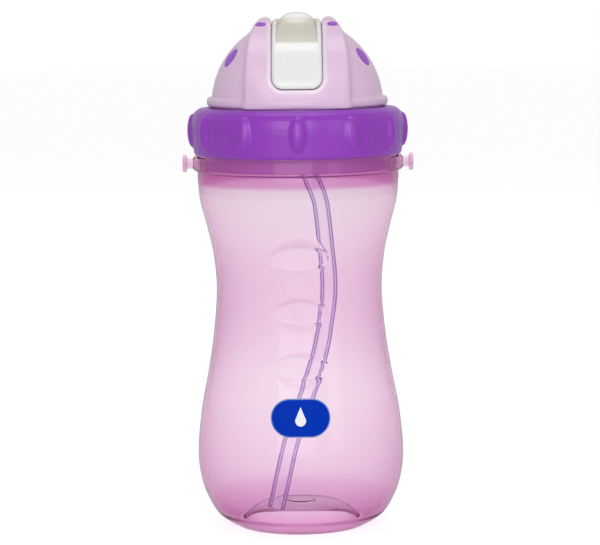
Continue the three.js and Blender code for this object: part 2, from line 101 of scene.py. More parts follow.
REAR_FLOOR = Arc(25.4, 26.9, 97, 178, 12)
REAR_STOP = Arc(25.4, 30.8, 173.4, 179, 12)
SPOUT_PATH = Arc(1, 29.4, 0, 60, 5.2)
TONGUE = Arc(28, 29.3, 14.5, 94, 10.5)
TONGUE_GAP = Arc(27, 29, 0, 110, 7.98)
SHIELD_RIB = Arc(27.3, 29.5, 91.5, 94.5, 8.28)
KNOB = Sizes(half=7.2, top=34, foot=23, shoulder=27.1)
RECESS = Sizes(inner=30.2, start=47.5, end=82)  # where the shield makes way for the knob's foot
DISH = Sizes(half=6.2, depth=0.8, back=-5, front=-20.5, fade=(6, 3))
ARC_DEGREE = 0.54  # the length of a degree at the shield's outside

SPOUT = Sizes(radius=3.8, bore=1.8, lean=28.5, length=24.5, folded=160)
FOLD = (0, -1.9, LID_Z + 18.5)
STRAW = Sizes(outer=3.1, inner=2.1)
STRAW_ROUTE = [
    (0, 10.6, 146.2), (0, 10.6, 140.5), (1.6, 10.4, 134), (4.9, 9.4, 125.5), (7.9, 8, 117.5), (9.8, 5, 101),
    (10.8, 1.5, 86), (9.2, -2, 73), (7.2, -4.5, 63), (1.8, -9, 46.5), (-3.4, -12.5, 32), (-9, -16, 8.4),
]
VALVE = Sizes(x=15, y=15, hole=1.5)
GRID = Sizes(collar=0.42, plate=0.5, dome=0.36, dot=0.16, shield=0.3, spout=0.28)

# ---------------- camera, light and floor

CAMERA_DISTANCE = 0.9
CAMERA_HEIGHT = 0.19
CAMERA_PITCH = 6.237  # degrees down
CAMERA_ROLL = -0.6
CAMERA_PAN = 0.021
LENS = 150
AMBIENT = 0.36  # the white surroundings' light on the object, where what shows of them is 1
REFLECTED = 0.6  # how bright the surroundings are in reflections
LIGHT_AIM = (0, 0, 0.1)
LIGHTS = [  # name, place, size, watts, and whether it shows in reflections
    ("front", (-0.1, -1.1, 0.36), (0.9, 0.9), 5.9, True),
    ("fill", (0.65, -0.75, 0.3), (0.3, 0.7), 0.8, True),
    ("top", (0, -0.03, 0.85), (0.6, 0.25), 1.2, True),
    ("back", (0.1, 0.8, 1.0), (0.9, 0.5), 2.5, False),
]
STAGE_HALF = 6
STAGE_GLOW = (0.2, 0.72)  # what the floor adds to other light, and to its own brightness where it shows
LONGEST_PATH = 20  # bounces, for the clear walls one behind another
WHITE = (1, 1, 1, 1)


def new_object(name, data):
    obj = bpy.data.objects.new(name, data)
    bpy.context.scene.collection.objects.link(obj)
    return obj


def make_camera():
    data = bpy.data.cameras.new("camera")
    data.lens = LENS
    data.sensor_width = 36
    camera = new_object("camera", data)
    tilt = Matrix.Rotation(math.radians(90 - CAMERA_PITCH), 4, "X")
    pan = Matrix.Rotation(math.radians(-CAMERA_PAN), 4, "Z")
    roll = Matrix.Rotation(math.radians(CAMERA_ROLL), 4, "Z")
    camera.matrix_world = Matrix.Translation((0, -CAMERA_DISTANCE, CAMERA_HEIGHT)) @ pan @ tilt @ roll
    bpy.context.scene.camera = camera


def area_light(name, place, size, power, glossy):
    """A soft box that faces the middle of the bottle, and never shows through it."""
    data = bpy.data.lights.new(name, "AREA")
    data.shape = "RECTANGLE"
    data.size, data.size_y = size
    data.energy = power
    light = new_object(name, data)
    light.location = place
    aim = Vector(LIGHT_AIM) - light.location
    light.rotation_euler = aim.to_track_quat("-Z", "Y").to_euler()
    light.visible_camera = False
    light.visible_transmission = False
    light.visible_glossy = glossy


def seen_directly(tree):
    """1 where the studio shows, by itself or through clear plastic, and 0 for its light on the object."""
    path = add_node(tree, "LightPath").outputs
    return calculated(tree, "MAXIMUM", path["Is Camera Ray"], path["Is Transmission Ray"])


def make_world():
    world = bpy.data.worlds.new("studio")
    bpy.context.scene.world = world
    world.use_nodes = True
    tree = world.node_tree
    background = tree.nodes["Background"]
    background.inputs["Color"].default_value = WHITE
    path = add_node(tree, "LightPath")
    lit = ranged(tree, path.outputs["Is Diffuse Ray"], REFLECTED, AMBIENT)
    tree.links.new(calculated(tree, "MAXIMUM", lit, seen_directly(tree)), background.inputs["Strength"])


def make_floor():
    mesh = bpy.data.meshes.new("floor")
    corners = [(x * STAGE_HALF, y * STAGE_HALF, 0) for x, y in ((-1, -1), (1, -1), (1, 1), (-1, 1))]
    mesh.from_pydata(corners, [], [(0, 1, 2, 3)])
    floor = new_object("floor", mesh)
    material, tree = new_material("floor_white")
    shader = principled(tree, color=(0.6, 0.6, 0.6), roughness=0.6, Specular_IOR_Level=0.1)
    shader.inputs["Emission Color"].default_value = WHITE
    tree.links.new(ranged(tree, seen_directly(tree), *STAGE_GLOW), shader.inputs["Emission Strength"])
    show(tree, shader)
    mesh.materials.append(material)


def make_studio():
    make_world()
    for light in LIGHTS:
        area_light(*light)
    scene = bpy.context.scene
    scene.view_settings.view_transform = "Standard"
    scene.cycles.max_bounces = LONGEST_PATH
    scene.cycles.transmission_bounces = LONGEST_PATH
    make_floor()


# ---------------- materials


def new_material(name):
    material = bpy.data.materials.new(name)
    material.use_nodes = True
    tree = material.node_tree
    tree.nodes.clear()
    add_node(tree, "OutputMaterial").name = "out"
    return material, tree


def add_node(tree, kind):
    return tree.nodes.new("ShaderNode" + kind)


def show(tree, shader, socket="Surface"):
    tree.links.new(shader.outputs[0], tree.nodes["out"].inputs[socket])


def principled(tree, color, roughness=0.3, **values):
    shader = add_node(tree, "BsdfPrincipled")
    shader.inputs["Base Color"].default_value = (*color, 1)
    shader.inputs["Roughness"].default_value = roughness
    for name, value in values.items():
        shader.inputs[name.replace("_", " ")].default_value = value
    return shader


def noise(tree, scale):
    """Noise in the object's own space. The scale is in cycles a metre."""
    place = add_node(tree, "TexCoord")
    texture = add_node(tree, "TexNoise")
    texture.inputs["Scale"].default_value = scale
    tree.links.new(place.outputs["Object"], texture.inputs["Vector"])
    return texture.outputs["Fac"]


def ranged(tree, source, low, high, start=0.0, end=1.0, smooth=False):
    """A value that goes from low to high as its source goes from start to end."""
    node = add_node(tree, "MapRange")
    if smooth:
        node.interpolation_type = "SMOOTHSTEP"
    for name, value in (("From Min", start), ("From Max", end), ("To Min", low), ("To Max", high)):
        node.inputs[name].default_value = value
    tree.links.new(source, node.inputs["Value"])
    return node.outputs["Result"]


def calculated(tree, operation, *values):
    """A sum, product or other combination of sockets and numbers."""
    node = add_node(tree, "Math")
    node.operation = operation
    for socket, value in zip(node.inputs, values):
        if isinstance(value, (int, float)):
            socket.default_value = value
        else:
            tree.links.new(value, socket)
    return node.outputs[0]


def distance(tree, a, b):
    """The length of the vector (a, b)."""
    squares = [calculated(tree, "MULTIPLY", value, value) for value in (a, b)]
    return calculated(tree, "SQRT", calculated(tree, "ADD", *squares))


def object_place(tree):
    """The x, y and z of a point in the object's own space, in metres."""
    place = add_node(tree, "TexCoord")
    parts = add_node(tree, "SeparateXYZ")
    tree.links.new(place.outputs["Object"], parts.inputs[0])
    return parts.outputs


def mixed_color(tree, factor, first, second):
    """A mix of two colours, each given as red, green and blue or as a socket."""
    node = add_node(tree, "Mix")
    node.data_type = "RGBA"
    for name, color in (("A", first), ("B", second)):
        if isinstance(color, tuple):
            node.inputs[name].default_value = (*color, 1)
        else:
            tree.links.new(color, node.inputs[name])
    tree.links.new(factor, node.inputs["Factor"])
    return node.outputs["Result"]


def repainted(material, find_factor, color):
    """Mixes another colour into a plastic, by a factor found from the place on it."""
    tree = material.node_tree
    base = next(node for node in tree.nodes if node.type == "BSDF_PRINCIPLED").inputs["Base Color"]
    first = base.links[0].from_socket
    tree.links.new(mixed_color(tree, find_factor(tree), first, color), base)


def bumped(tree, height, strength, distance):
    node = add_node(tree, "Bump")
    node.inputs["Strength"].default_value = strength
    node.inputs["Distance"].default_value = distance
    tree.links.new(height, node.inputs["Height"])
    return node.outputs["Normal"]


def moulded_plastic(name, first, second, roughness, grain=0.00002, coat=0.0, subsurface=0.0, specular=0.5):
    """Moulded plastic: a colour that drifts a little, a roughness that varies, and a very fine grain."""
    material, tree = new_material(name)
    shader = principled(
        tree, first, roughness[0], Specular_IOR_Level=specular, Coat_Weight=coat, Coat_Roughness=0.08,
        Subsurface_Weight=subsurface, Subsurface_Radius=(1.0, 0.7, 0.8), Subsurface_Scale=0.002)
    tree.links.new(mixed_color(tree, noise(tree, 60), first, second), shader.inputs["Base Color"])
    tree.links.new(ranged(tree, noise(tree, 350), *roughness), shader.inputs["Roughness"])
    tree.links.new(bumped(tree, noise(tree, 2200), 0.35, grain), shader.inputs["Normal"])
    show(tree, shader)
    return material


def edge_depth(tree, start, end):
    """Depth of tint that grows where clear plastic is seen edge on."""
    weight = add_node(tree, "LayerWeight")
    weight.inputs["Blend"].default_value = 0.5
    return ranged(tree, weight.outputs["Facing"], 0, 1, start, end, smooth=True)


def height_depth(tree, heights, bare):
    """Depth of tint from a list of (height in metres, depth), with none within a radius of the axis."""
    ramp = add_node(tree, "FloatCurve")
    curve = ramp.mapping.curves[0]
    top = heights[-1][0]
    for point, (height, value) in zip(curve.points, (heights[0], heights[-1])):
        point.location = (height / top, value)
    for height, value in heights[1:-1]:
        curve.points.new(height / top, value)
    ramp.mapping.update()
    x, y, z = object_place(tree)[:3]
    tree.links.new(calculated(tree, "DIVIDE", z, top), ramp.inputs["Value"])
    reach = distance(tree, x, y)
    return calculated(tree, "MULTIPLY", ramp.outputs[0], ranged(tree, reach, 0, 1, *bare, smooth=True))


def clear_plastic(name, tint, find_depth, absorption, density, ior, roughness=0.02, coat=0.4):
    """Clear tinted plastic: its wall absorbs light, and a depth from 0 to 1 adds more tint at the surface.
    Shadow rays pass straight through, because the studio's light reaches the inside of the real one."""
    material, tree = new_material(name)
    drift = ranged(tree, noise(tree, 25), -0.02, 0.02)
    depth = calculated(tree, "ADD", find_depth(tree), drift)
    shader = principled(tree, (1, 1, 1), roughness, Transmission_Weight=1.0, IOR=ior, Coat_Weight=coat,
                        Coat_Roughness=0.06)
    tree.links.new(mixed_color(tree, depth, (1, 1, 1), tint), shader.inputs["Base Color"])
    tree.links.new(ranged(tree, noise(tree, 150), roughness, roughness * 2.5), shader.inputs["Roughness"])
    open_way = add_node(tree, "BsdfTransparent")
    path = add_node(tree, "LightPath")
    mix = add_node(tree, "MixShader")
    tree.links.new(path.outputs["Is Shadow Ray"], mix.inputs["Fac"])
    tree.links.new(shader.outputs[0], mix.inputs[1])
    tree.links.new(open_way.outputs[0], mix.inputs[2])
    show(tree, mix)
    volume = add_node(tree, "VolumeAbsorption")
    volume.inputs["Color"].default_value = (*absorption, 1)
    volume.inputs["Density"].default_value = density
    show(tree, volume, "Volume")
    return material


# ---------------- meshes


MADE = []


def mesh_object(name, points, faces):
    """A smooth-shaded mesh in the scene, from points in millimetres."""
    mesh = bpy.data.meshes.new(name)
    mesh.from_pydata((np.asarray(points) * MM).tolist(), [], [tuple(face) for face in faces])
    mesh.validate()
    mesh.polygons.foreach_set("use_smooth", [True] * len(mesh.polygons))
    return new_object(name, mesh)


def as_object(name, points, faces, material, body, node, slot):
    """A piece that rides on a body and stands for a CAD node."""
    obj = mesh_object(name, points, faces)
    for one in material if isinstance(material, list) else [material]:
        obj.data.materials.append(one)
    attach(obj, body)
    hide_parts(*(node if isinstance(node, tuple) else (node,)))
    MADE.append(obj)
    return obj


def swept(outline, angles):
    """Rows of points of an outline of (radius, height), turned through the angles."""
    return np.array([
        np.stack([r * np.sin(angles), -r * np.cos(angles), np.full(len(angles), z)], 1) for r, z in outline
    ])


def quads(count, around, closed=False):
    """Faces from each row of points round a shape to the next, and from the last to the first if closed."""
    faces = []
    for row in range(count if closed else count - 1):
        a, b = row * around, (row + 1) % count * around
        faces += [(a + i, a + (i + 1) % around, b + (i + 1) % around, b + i) for i in range(around)]
    return faces


def cap(centre, row, around, upward):
    """Faces from a centre point to a row of points that goes round it."""
    sides = [(row * around + i, row * around + (i + 1) % around) for i in range(around)]
    return [(centre, a, b) if upward else (centre, b, a) for a, b in sides]


def turned(outline, segments):
    """Points and faces of a (radius, height) outline turned about Z. It may start and end on the axis."""
    inner = [(r, z) for r, z in outline if r > 1e-6]
    points = swept(inner, np.arange(segments) * TAU / segments).reshape(-1, 3)
    faces = quads(len(inner), segments)
    for end, row, upward in ((outline[0], 0, False), (outline[-1], len(inner) - 1, True)):
        if end[0] <= 1e-6:
            points = np.vstack([points, [0, 0, end[1]]])
            faces += cap(len(points) - 1, row, segments, upward)
    return points, faces


def closed_ring(outline, segments):
    """Points and faces of a closed outline that doesn't touch the axis, turned about Z."""
    points = swept(outline, np.arange(segments) * TAU / segments).reshape(-1, 3)
    return points, quads(len(outline), segments, True)


def smooth_max(a, b, radius):
    """The larger of two fields, with the edge between them rounded."""
    h = np.maximum(radius - np.abs(a - b), 0) / radius
    return np.maximum(a, b) + h * h * radius * 0.25


def smooth_min(a, b, radius):
    return -smooth_max(-a, -b, radius)


def field_surface(field, low, high, step):
    """Points and faces where field(x, y, z) is zero; it is negative inside. The points are then moved onto
    the surface itself, so the grid doesn't show."""
    axes = [np.arange(a, b + step, step, dtype=np.float32) for a, b in zip(low, high)]
    x, y, z = np.meshgrid(*axes, indexing="ij", sparse=True)
    band = 3 * step
    values = np.clip(field(x, y, z), -band, band).astype(np.float32)
    grid = openvdb.FloatGrid(band)
    grid.copyFromArray(np.ascontiguousarray(values))
    points, quads = grid.convertToQuads(0.0)
    points = points.astype(np.float64) * step + np.array(low)
    probe = step * 0.2
    for _ in range(2):
        here = field(*points.T)
        slope = np.stack([
            (field(*(points + probe * axis).T) - field(*(points - probe * axis).T)) / (2 * probe)
            for axis in np.eye(3)
        ], 1)
        length = np.maximum((slope ** 2).sum(1), 0.05)
        points = points - np.clip(here / length, -step, step)[:, None] * slope
    return points, quads[:, ::-1]


def round_surface(field, radius, low, high, step):
    """Where a field is zero, within a radius of Z and between two heights."""
    return field_surface(field, (-radius, -radius, low), (radius, radius, high), step)


def catmull_rom(route, steps):
    """Points along a smooth curve through a route."""
    route = [Vector(p) for p in route]
    ends = [route[0] * 2 - route[1], *route, route[-1] * 2 - route[-2]]
    places = []
    for i in range(1, len(ends) - 2):
        p0, p1, p2, p3 = ends[i - 1:i + 3]
        for k in range(steps):
            t = k / steps
            places.append(0.5 * (2 * p1 + (p2 - p0) * t + (2 * p0 - 5 * p1 + 4 * p2 - p3) * t * t
                                 + (3 * p1 - p0 - 3 * p2 + p3) * t ** 3))
    places.append(route[-1])
    return places


def rounded(outline, radius, closed=True, steps=6):
    """An outline with its corners replaced by arcs, each as large as its two sides allow."""
    outline = [np.array(p, float) for p in outline]
    count = len(outline)
    points = []
    for i, corner in enumerate(outline):
        if not closed and i in (0, count - 1):
            points.append(corner)
            continue
        before, after = outline[i - 1] - corner, outline[(i + 1) % count] - corner
        reach_before, reach_after = np.linalg.norm(before), np.linalg.norm(after)
        before, after = before / reach_before, after / reach_after
        half = math.acos(np.clip(before @ after, -1, 1)) / 2
        reach = min(radius / max(math.tan(half), 1e-6), 0.48 * reach_before, 0.48 * reach_after)
        if reach < 1e-3 or half > 1.55:
            points.append(corner)
            continue
        start, end = corner + before * reach, corner + after * reach
        for k in range(steps + 1):
            t = k / steps
            points.append((1 - t) ** 2 * start + 2 * t * (1 - t) * corner + t * t * end)
    return points


def smooth_outline(points, steps=6):
    """An open outline resampled on a smooth curve through its points."""
    return [(p[0], p[1]) for p in catmull_rom([(r, z, 0) for r, z in points], steps)]


# ---------------- distance fields, negative inside


def polygon_field(u, v, outline):
    """Distance to a closed outline in a plane."""
    nearest, inside = np.inf, False
    outline = [tuple(map(float, p)) for p in outline]
    for (u0, v0), (u1, v1) in zip(outline, outline[1:] + outline[:1]):
        du, dv = u1 - u0, v1 - v0
        t = np.clip(((u - u0) * du + (v - v0) * dv) / max(du * du + dv * dv, 1e-12), 0, 1)
        nearest = np.minimum(nearest, (u - u0 - t * du) ** 2 + (v - v0 - t * dv) ** 2)
        if dv:
            inside = inside ^ (((v0 <= v) != (v1 <= v)) & (u < u0 + (v - v0) * du / dv))
    return np.where(inside, -1.0, 1.0) * np.sqrt(nearest)


def turned_field(outline, step=0.1):
    """The field of a closed (radius, height) outline turned about Z, read from a fine table."""
    low = np.min(outline, 0) - 3
    counts = np.ceil((np.max(outline, 0) + 3 - low) / step).astype(int)
    radii, heights = (low[k] + np.arange(counts[k]) * step for k in (0, 1))
    table = polygon_field(radii[:, None], heights[None, :], outline).astype(np.float32)

    def field(x, y, z):
        u = np.clip((np.hypot(x, y) - low[0]) / step, 0, counts[0] - 1.001)
        v = np.clip((z - low[1]) / step, 0, counts[1] - 1.001)
        i, j = u.astype(int), v.astype(int)
        u, v = u - i, v - j
        return (table[i, j] * (1 - u) + table[i + 1, j] * u) * (1 - v) + (
            table[i, j + 1] * (1 - u) + table[i + 1, j + 1] * u) * v

    return field


def box_field(x, y, z, low, high, corner):
    """A box with round edges."""
    gaps = [np.abs(p - (a + b) / 2) - ((b - a) / 2 - corner) for p, a, b in zip((x, y, z), low, high)]
    outside = np.sqrt(sum(np.maximum(gap, 0) ** 2 for gap in gaps))
    return outside + np.minimum(np.maximum(np.maximum(gaps[0], gaps[1]), gaps[2]), 0) - corner


def corner_field(q, w, corner):
    """Two edges with a round corner between them, from the distances past the corner's centre."""
    return np.minimum(np.maximum(q, w), 0) + np.hypot(np.maximum(q, 0), np.maximum(w, 0)) - corner


def rod_field(x, y, z, foot, radius, top, corner=0.3):
    """An upright round rod with round edges, from a foot point up to a height."""
    q = np.hypot(x - foot[0], y - foot[1]) - (radius - corner)
    w = np.abs(z - (foot[2] + top) / 2) - ((top - foot[2]) / 2 - corner)
    return corner_field(q, w, corner)


def arc_place(y, z):
    """Radius about the shield's axis, and the angle up from the front in degrees."""
    return np.hypot(y, z - LID_Z), np.degrees(np.arctan2(z - LID_Z, -y))


def sector_field(x, y, z, inner, outer, start, end, half_width):
    """Part of a ring about the shield's axis."""
    radius, angle = arc_place(y, z)
    along = np.maximum(start - angle, angle - end) * math.radians(outer)
    return np.maximum(np.maximum(inner - radius, radius - outer), np.maximum(along, np.abs(x) - half_width))


def u_field(x, z, half_width, bottom, corner):
    """An upright U with round lower corners, open at its top."""
    return corner_field(np.abs(x) - (half_width - corner), bottom + corner - z, corner)


# ---------------- bottle

SIDE_CURVE = smooth_outline(SIDE, 12)
SIDE_HEIGHTS = [p[1] for p in SIDE_CURVE]
SIDE_RADII = [p[0] for p in SIDE_CURVE]


def side_radius(z):
    return np.interp(z, SIDE_HEIGHTS, SIDE_RADII)


def grip_floor(x, z, grow, depth):
    """How far back (in y) the nearest finger grip's sloping oval pad lies at a place on the front."""
    nearest = np.full(np.shape(x), -1e3)
    for height, half_width in GRIPS:
        a, b = (half - GRIP_EDGE + grow for half in (half_width, GRIP_HALF_HEIGHT))
        ratio = np.hypot(x / a, (z - height) / b)
        past = (ratio - 1) * np.where(ratio > 1e-6, np.hypot(x, z - height) / np.maximum(ratio, 1e-6), 0)
        slope = np.maximum(past, 0) * GRIP_SLOPE
        nearest = np.maximum(nearest, depth - side_radius(height) - slope)
    return nearest


def with_grips(rows, grow, depth):
    """Pushes the front of a turned surface back to the finger grips."""
    x, y, z = np.moveaxis(rows, -1, 0)
    low, high = GRIP_ZONE
    pushed = smooth_max(y, grip_floor(x, z, grow, depth), GRIP_BLEND)
    moved = rows.copy()
    moved[..., 1] = np.where((y < 0) & (z > low) & (z < high), np.maximum(y, pushed), y)
    return moved


def bottle_angles():
    """Angles about the axis, measured from the front: close together at the grips."""
    edge = math.radians(25)
    front = np.linspace(-edge, edge, 110, endpoint=False)
    rest = np.linspace(edge, TAU - edge, 200, endpoint=False)
    return np.concatenate([front, rest])


def densify(outline, limit):
    """The outline with every side cut to at most a limit."""
    points = [outline[0]]
    for (r0, z0), (r1, z1) in zip(outline, outline[1:]):
        parts = max(1, math.ceil(math.hypot(r1 - r0, z1 - z0) / limit))
        points += [(r0 + (r1 - r0) * k / parts, z0 + (z1 - z0) * k / parts) for k in range(1, parts + 1)]
    return points


def thread_turns(x, y, z, start):
    """For each turn of the thread, how far it has faded in at a place, and the height from its middle."""
    angle = np.mod(np.arctan2(x, -y), TAU)
    for turn in range(2):
        along = (angle + turn * TAU) / (THREAD.turns * TAU)
        fade = np.clip(np.minimum(along, 1 - along) * THREAD_FADE, 0, 1)
        yield fade, np.abs(z - start - along * THREAD.turns * THREAD.pitch)


def with_thread(points, root):
    """Raises a helical thread out of a turned surface whose radius is the root."""
    radius = np.hypot(points[:, 0], points[:, 1])
    raised = np.zeros(len(points))
    for fade, height in thread_turns(*points.T, THREAD.start):
        raised = np.maximum(raised, fade * np.clip((THREAD.half - height) / THREAD.flank, 0, 1))
    raised = np.where(np.abs(radius - root) < 0.2, raised * THREAD.depth, 0)
    moved = points.copy()
    moved[:, :2] *= (1 + raised / np.maximum(radius, 1))[:, None]
    return moved


def bottle_outside():
    """The outline of the bottle's outside, from the middle of its foot to the inside of its neck."""
    ring, neck, shoulder = NECK_RING, NECK, SIDE[-1][0]
    hollow = smooth_outline([(0.4, FOOT[0][1]), *FOOT[1:-2]], 5)
    edge = rounded([FOOT[-2], FOOT[-1], SIDE[0]], 1.2, False)
    top = rounded([
        (shoulder, ring.step), (shoulder, ring.step + 1.2), (ring.radius, ring.bottom),
        (ring.radius, ring.top), (neck.outer, ring.top), (neck.outer, neck.lip),
        (neck.inner, neck.lip), (neck.inner, neck.bottom),
    ], 0.45, False)
    return hollow + edge + SIDE_CURVE[1:] + top


def bottle_inside():
    """The outline of the bottle's inside, from its neck to the middle of its floor."""
    curve = np.array(SIDE_CURVE[::-1])
    tangent = np.gradient(curve, axis=0)
    normal = np.stack([tangent[:, 1], -tangent[:, 0]], 1) / np.linalg.norm(tangent, axis=1)[:, None]
    walls = np.interp(curve[:, 1], *zip(*WALLS))
    low, high = INNER_SIDE
    side = [(r, z) for r, z in curve + normal * walls[:, None] if low < z < high]
    neck = rounded([(NECK.inner, NECK.bottom), NECK.flare, side[0]], 4, False)
    return neck + side[1:] + smooth_outline([*FLOOR[:0:-1], (0.4, FLOOR[0][1])], 5)


def bottle_mesh():
    angles = bottle_angles()
    outside, inside = (
        swept(densify(part, OUTLINE_STEP), angles) for part in (bottle_outside(), bottle_inside())
    )
    inside = with_grips(inside, GRIP_WALL * 0.43, GRIP_DEPTH + GRIP_WALL)
    rows = np.concatenate([with_grips(outside, 0, GRIP_DEPTH), inside[1:]])
    count, around = rows.shape[:2]
    points = with_thread(rows.reshape(-1, 3), NECK.outer)
    points = np.vstack([points, [0, 0, FOOT[0][1]], [0, 0, FLOOR[0][1]]])
    foot, floor = len(points) - 2, len(points) - 1
    return points, quads(count, around) + cap(foot, 0, around, False) + cap(floor, count - 1, around, True)


def stud_mesh(side):
    """A strap stud: a stem with a flared root and a round disc at its end."""
    inside, thick = NECK_RING.radius - 1, STUD.thick
    root, stem, disc, end = STUD.root, STUD.stem, STUD.disc, STUD.end
    outline = rounded([
        (root, inside), (root, inside + 1.2), (stem, inside + 2.1), (stem, end - thick),
        (disc, end - thick), (disc, end), (0.0, end),
    ], 0.45, False)
    points, faces = turned([(0, inside), *outline], 48)
    x, y, z = points.T
    return np.stack([side * z, y, side * -x + STUD.z], 1), faces


def make_bottle():
    shell = as_object("bottle_shell", *bottle_mesh(), clear_pink(), "bottle_body", "bottle", "bottle")
    for side in (1, -1):
        join(shell, mesh_object("stud", *stud_mesh(side)))


def join(target, other):
    """Joins another closed mesh to a piece for good."""
    modifier = target.modifiers.new("join", "BOOLEAN")
    modifier.operation, modifier.solver, modifier.object = "UNION", "MANIFOLD", other
    graph = bpy.context.evaluated_depsgraph_get()
    result = bpy.data.meshes.new_from_object(target.evaluated_get(graph))
    target.modifiers.clear()
    target.data = result
    bpy.data.objects.remove(other)


TINT_HEIGHTS = [  # height in metres, and depth of tint
    (0, 0.6), (0.007, 0.52), (0.0115, 0.2), (0.017, 0.06), (0.026, 0.03), (0.04, 0.0), (0.06, 0.03),
    (0.072, 0.1), (0.088, 0.12), (0.104, 0.06), (0.116, 0.0), (0.1235, 0.05), (0.1255, 0.8), (0.1285, 0.8),
    (0.1297, 0.25), (0.135, 0.2), (0.15, 0.2),
]
BARE_BASE = (0.018, 0.0235)  # the tint fades in between these radii, in metres


def clear_pink():
    return clear_plastic(
        "clear_pink", (0.82, 0.4, 0.72), lambda tree: height_depth(tree, TINT_HEIGHTS, BARE_BASE),
        (0.54, 0.02, 0.4), 150, ior=1.14)


# ---------------- badge

BADGE_BORDER = 0.4
BADGE_LIFT = (0.06, 0.34)
BADGE_GRID = 0.6
INK_GRAIN = 0.000006
DROP = Sizes(radius=1.9, centre=-0.9, tip=3.9)


def pill(half_width, half_height, steps=18):
    """A pill's outline in (x, z), about its own centre."""
    straight = half_width - half_height
    turn = np.linspace(-math.pi / 2, math.pi / 2, steps)
    right = [(straight + half_height * math.cos(a), half_height * math.sin(a)) for a in turn]
    return right + [(-x, -z) for x, z in right]


def drop_outline():
    """A plain water drop in (x, z), about its own centre."""
    radius, centre = DROP.radius, DROP.centre
    turn = np.linspace(math.radians(145), math.radians(395), 26)
    return [(0.0, DROP.tip)] + [(radius * math.cos(a), centre + radius * math.sin(a)) for a in turn]


def badge_mesh():
    """The label as a thin curved plate. Its material slots are field, border and drop."""
    outlines = [
        pill(BADGE.half, BADGE.half_height),
        pill(BADGE.half - BADGE_BORDER, BADGE.half_height - BADGE_BORDER),
        drop_outline(),
    ]
    places, edges = [], []
    for outline in outlines:
        first = len(places)
        places += outline
        edges += [(first + i, first + (i + 1) % len(outline)) for i in range(len(outline))]
    for x in np.arange(-BADGE.half, BADGE.half, BADGE_GRID):
        for z in np.arange(-BADGE.half_height, BADGE.half_height, BADGE_GRID):
            if all(abs(polygon_field(x, z, outline)) > BADGE_GRID / 2 for outline in outlines):
                if polygon_field(x, z, outlines[0]) < 0:
                    places.append((x, z))
    result = delaunay_2d_cdt([Vector(p) for p in places], edges, [], 1, 1e-5)
    flat, triangles = result[0], [tuple(t) for t in result[2]]
    centres = np.array([np.mean([flat[i] for i in t], axis=0) for t in triangles])
    inner, drop = (polygon_field(centres[:, 0], centres[:, 1], outline) < 0 for outline in outlines[1:])
    triangles = [t for t, keep in zip(triangles, polygon_field(*centres.T, outlines[0]) < 1e-3) if keep]
    slots = np.where(drop, 2, np.where(inner, 0, 1))
    flat = np.array([tuple(p) for p in flat])

    def lifted(lift):
        z = flat[:, 1] + BADGE.z
        radius = side_radius(z) + lift
        return np.stack([flat[:, 0], -np.sqrt(radius ** 2 - flat[:, 0] ** 2), z], 1)

    def facing(triangle):
        (ax, az), (bx, bz), (cx, cz) = (flat[i] for i in triangle)
        return triangle if (bx - ax) * (cz - az) - (bz - az) * (cx - ax) > 0 else triangle[::-1]

    count = len(flat)
    front = [facing(t) for t in triangles]
    back = [tuple(i + count for i in t[::-1]) for t in front]
    used = {edge: True for a, b, c in front for edge in ((a, b), (b, c), (c, a))}
    rim = [(b, a, a + count, b + count) for a, b in used if (b, a) not in used]
    points = np.vstack([lifted(BADGE_LIFT[1]), lifted(BADGE_LIFT[0])])
    return points, front + back + rim, [*slots, *[0] * len(back), *[1] * len(rim)]


def make_badge():
    field = moulded_plastic("badge_blue", (0.0, 0.034, 0.47), (0.0, 0.04, 0.5), (0.4, 0.48), INK_GRAIN,
                            specular=0.03)
    border = moulded_plastic("badge_border", (0.14, 0.24, 0.56), (0.16, 0.27, 0.6), (0.25, 0.32), INK_GRAIN)
    mark = moulded_plastic("badge_white", (0.85, 0.87, 0.92), (0.9, 0.91, 0.94), (0.25, 0.32), INK_GRAIN)
    points, faces, slots = badge_mesh()
    looks = [field, border, mark]
    badge = as_object("badge_print", points, faces, looks, "bottle_body", "badge_label", "badge")
    badge.data.polygons.foreach_set("material_index", [int(s) for s in slots])
    badge.data.polygons.foreach_set("use_smooth", [False] * len(badge.data.polygons))


# ---------------- collar and seal


def collar_field():
    radius, bottom, top, bore, mouth = COLLAR.radius, COLLAR.bottom, COLLAR.top, COLLAR.bore, COLLAR.mouth
    body = turned_field(rounded([
        (bore, bottom), (radius - 1.3, bottom), (radius - 0.8, bottom + 1), (radius - 0.1, top - 8.5),
        (radius, top - 6), (radius - 0.35, top - 3.4), (radius - 1.3, top - 1.5), (radius - 2.9, top - 0.3),
        (radius - 4.8, top), (mouth, top), (mouth, top - 1.6), (bore - 1.2, top - 1.6), (bore, top - 3.9),
    ], 0.8))

    def field(x, y, z):
        turn = np.arctan2(x, -y)
        pitch = TAU / RIBS.count
        turn = turn - np.round(turn / pitch) * pitch
        reach = np.hypot(x, y)
        rib_place = (reach * np.cos(turn) - (radius - RIBS.inset), reach * np.sin(turn), z - RIBS.z)
        size, slope = (
            np.sqrt(sum((offset / half ** power) ** 2 for offset, half in zip(rib_place, RIBS.size)))
            for power in (1, 2)
        )
        rib = np.maximum(size * (size - 1) / np.maximum(slope, 1e-3), bore + 0.4 - reach)
        thread = np.inf
        for fade, height in thread_turns(x, y, z, THREAD.start + THREAD.pitch / 2):
            rise = np.maximum(height - COLLAR_THREAD_HALF * fade, bore - THREAD.depth * fade - reach)
            thread = np.minimum(thread, rise)
        thread = np.maximum(thread, reach - bore - 0.5)
        return np.minimum(smooth_min(body(x, y, z), rib, 1.0), thread)

    return field


